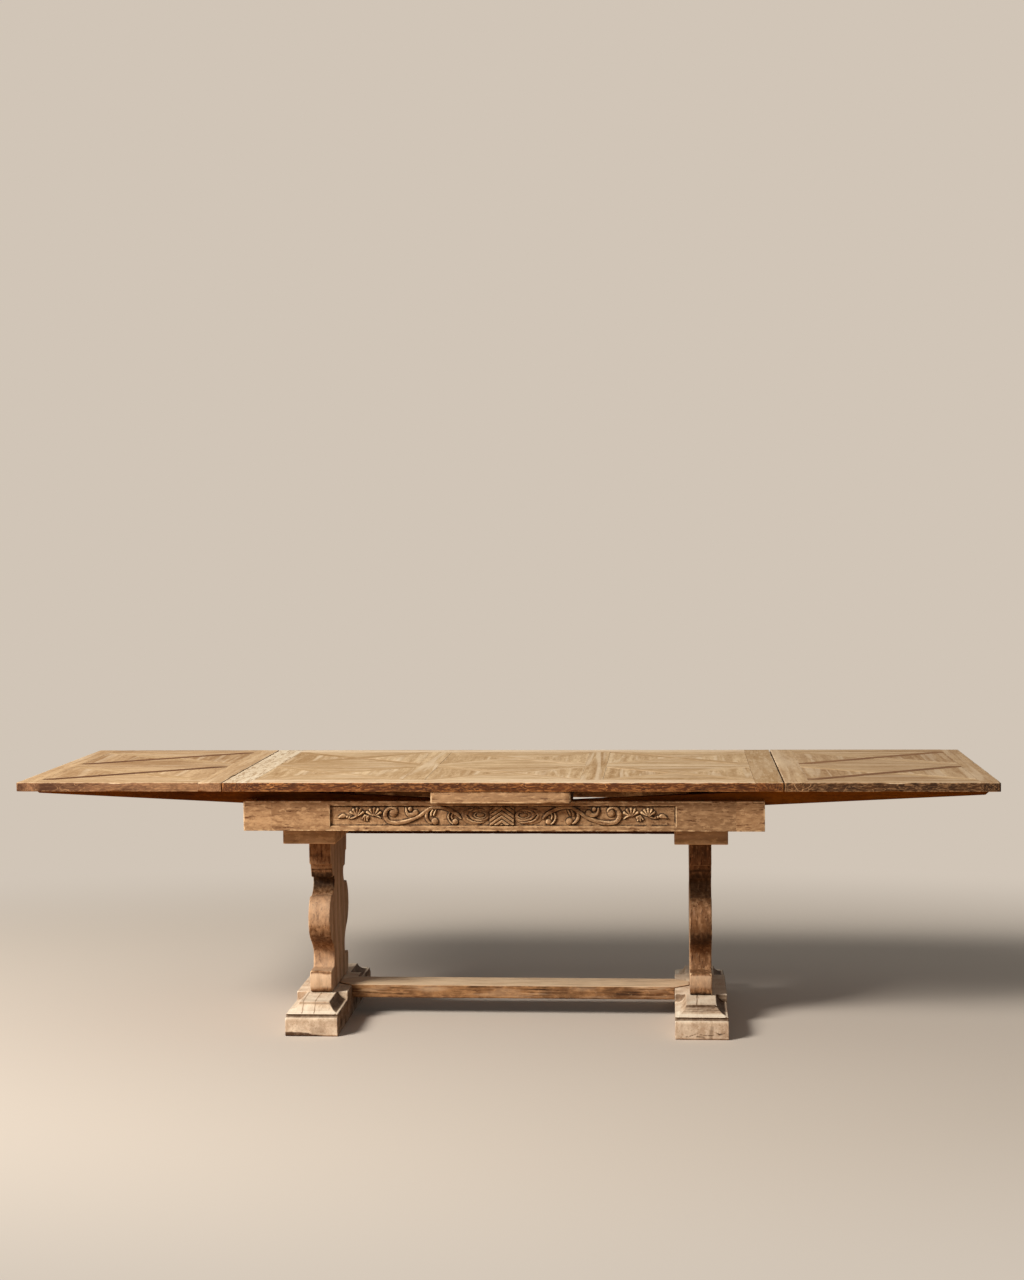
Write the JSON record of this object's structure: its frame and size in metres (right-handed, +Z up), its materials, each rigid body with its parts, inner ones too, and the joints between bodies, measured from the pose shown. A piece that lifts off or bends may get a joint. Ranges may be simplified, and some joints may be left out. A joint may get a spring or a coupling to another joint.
{
  "type": "extending dining table",
  "caption": "Draw-leaf dining table with a lift-off parquetry top, sliding end leaves on sloping bearers, carved apron, vase-shaped trestle legs, sledge feet and a low stretcher.",
  "frame": {"origin": "on the floor, under the middle of the top", "axes": "+X to the right along the table's length, +Y to the back, +Z up; the carved front apron faces -Y"},
  "size_m": [2.807, 0.9, 0.76],
  "materials": {
    "top_oak": "worn, dry, faint wax",
    "pale_top_oak": "scrubbed and bleached",
    "dark_parquet_oak": "worn, dry, faint wax",
    "frame_oak": "worn, dull wax",
    "bearer_oak": "honey brown, planed",
    "bleached_oak": "bleached, cracked and dry",
    "steel": "dull steel"
  },
  "bodies": {
    "base": {"left_foot": "bleached_oak", "right_foot": "bleached_oak", "left_leg": "frame_oak", "right_leg": "frame_oak", "left_bolster": "frame_oak", "right_bolster": "frame_oak", "left_cross_rail": "bearer_oak", "right_cross_rail": "bearer_oak", "stretcher": "frame_oak", "upper_rail": "frame_oak", "front_apron": "frame_oak", "back_apron": "frame_oak", "corner_posts": "frame_oak", "corner_blocks": "bearer_oak", "left_end_rail": "frame_oak", "right_end_rail": "frame_oak", "guide_cleats": "bearer_oak", "centre_board": "frame_oak", "centre_board_screws": "steel", "foot_bolts": "steel", "bolster_bolts": "steel"},
    "top": {"top_front_border": "top_oak", "top_back_border": "top_oak", "top_left_end": "pale_top_oak", "top_right_end": "pale_top_oak", "top_left_band": "top_oak", "top_right_band": "top_oak", "top_mid_rails": "top_oak", "top_left_laths": "dark_parquet_oak", "top_centre_laths": "dark_parquet_oak", "top_right_laths": "dark_parquet_oak", "top_left_panels": "top_oak", "top_centre_panels": "top_oak", "top_right_panels": "top_oak", "top_core": "top_oak", "top_pegs": "top_oak"},
    "left_leaf": {"left_leaf_front_border": "top_oak", "left_leaf_back_border": "top_oak", "left_leaf_inner_end": "top_oak", "left_leaf_outer_end": "top_oak", "left_leaf_mid_rail": "top_oak", "left_leaf_laths": "dark_parquet_oak", "left_leaf_panels": "top_oak", "left_leaf_core": "top_oak", "left_leaf_front_loper": "bearer_oak", "left_leaf_back_loper": "bearer_oak", "left_leaf_loper_screws": "steel", "left_leaf_loper_stops": "bearer_oak"},
    "right_leaf": {"right_leaf_front_border": "top_oak", "right_leaf_back_border": "top_oak", "right_leaf_inner_end": "top_oak", "right_leaf_outer_end": "top_oak", "right_leaf_mid_rail": "top_oak", "right_leaf_laths": "dark_parquet_oak", "right_leaf_panels": "top_oak", "right_leaf_core": "top_oak", "right_leaf_front_loper": "bearer_oak", "right_leaf_back_loper": "bearer_oak", "right_leaf_loper_screws": "steel", "right_leaf_loper_stops": "bearer_oak"}
  },
  "joints": [
    {"name": "top_lift", "type": "slide", "parent": "base", "child": "top", "axis": [0, 0, 1], "range_m": [0, 0.3]},
    {"name": "left_leaf_slide", "type": "slide", "parent": "base", "child": "left_leaf", "axis": [0.9988, 0, -0.0483], "range_m": [0, 0.6008]},
    {"name": "right_leaf_slide", "type": "slide", "parent": "base", "child": "right_leaf", "axis": [-0.9988, 0, -0.0483], "range_m": [0, 0.6008]}
  ],
  "couplings": [
    {"joint": "left_leaf_slide", "follows": "top_lift", "ratio": 2.0023},
    {"joint": "right_leaf_slide", "follows": "top_lift", "ratio": 2.0023}
  ]
}
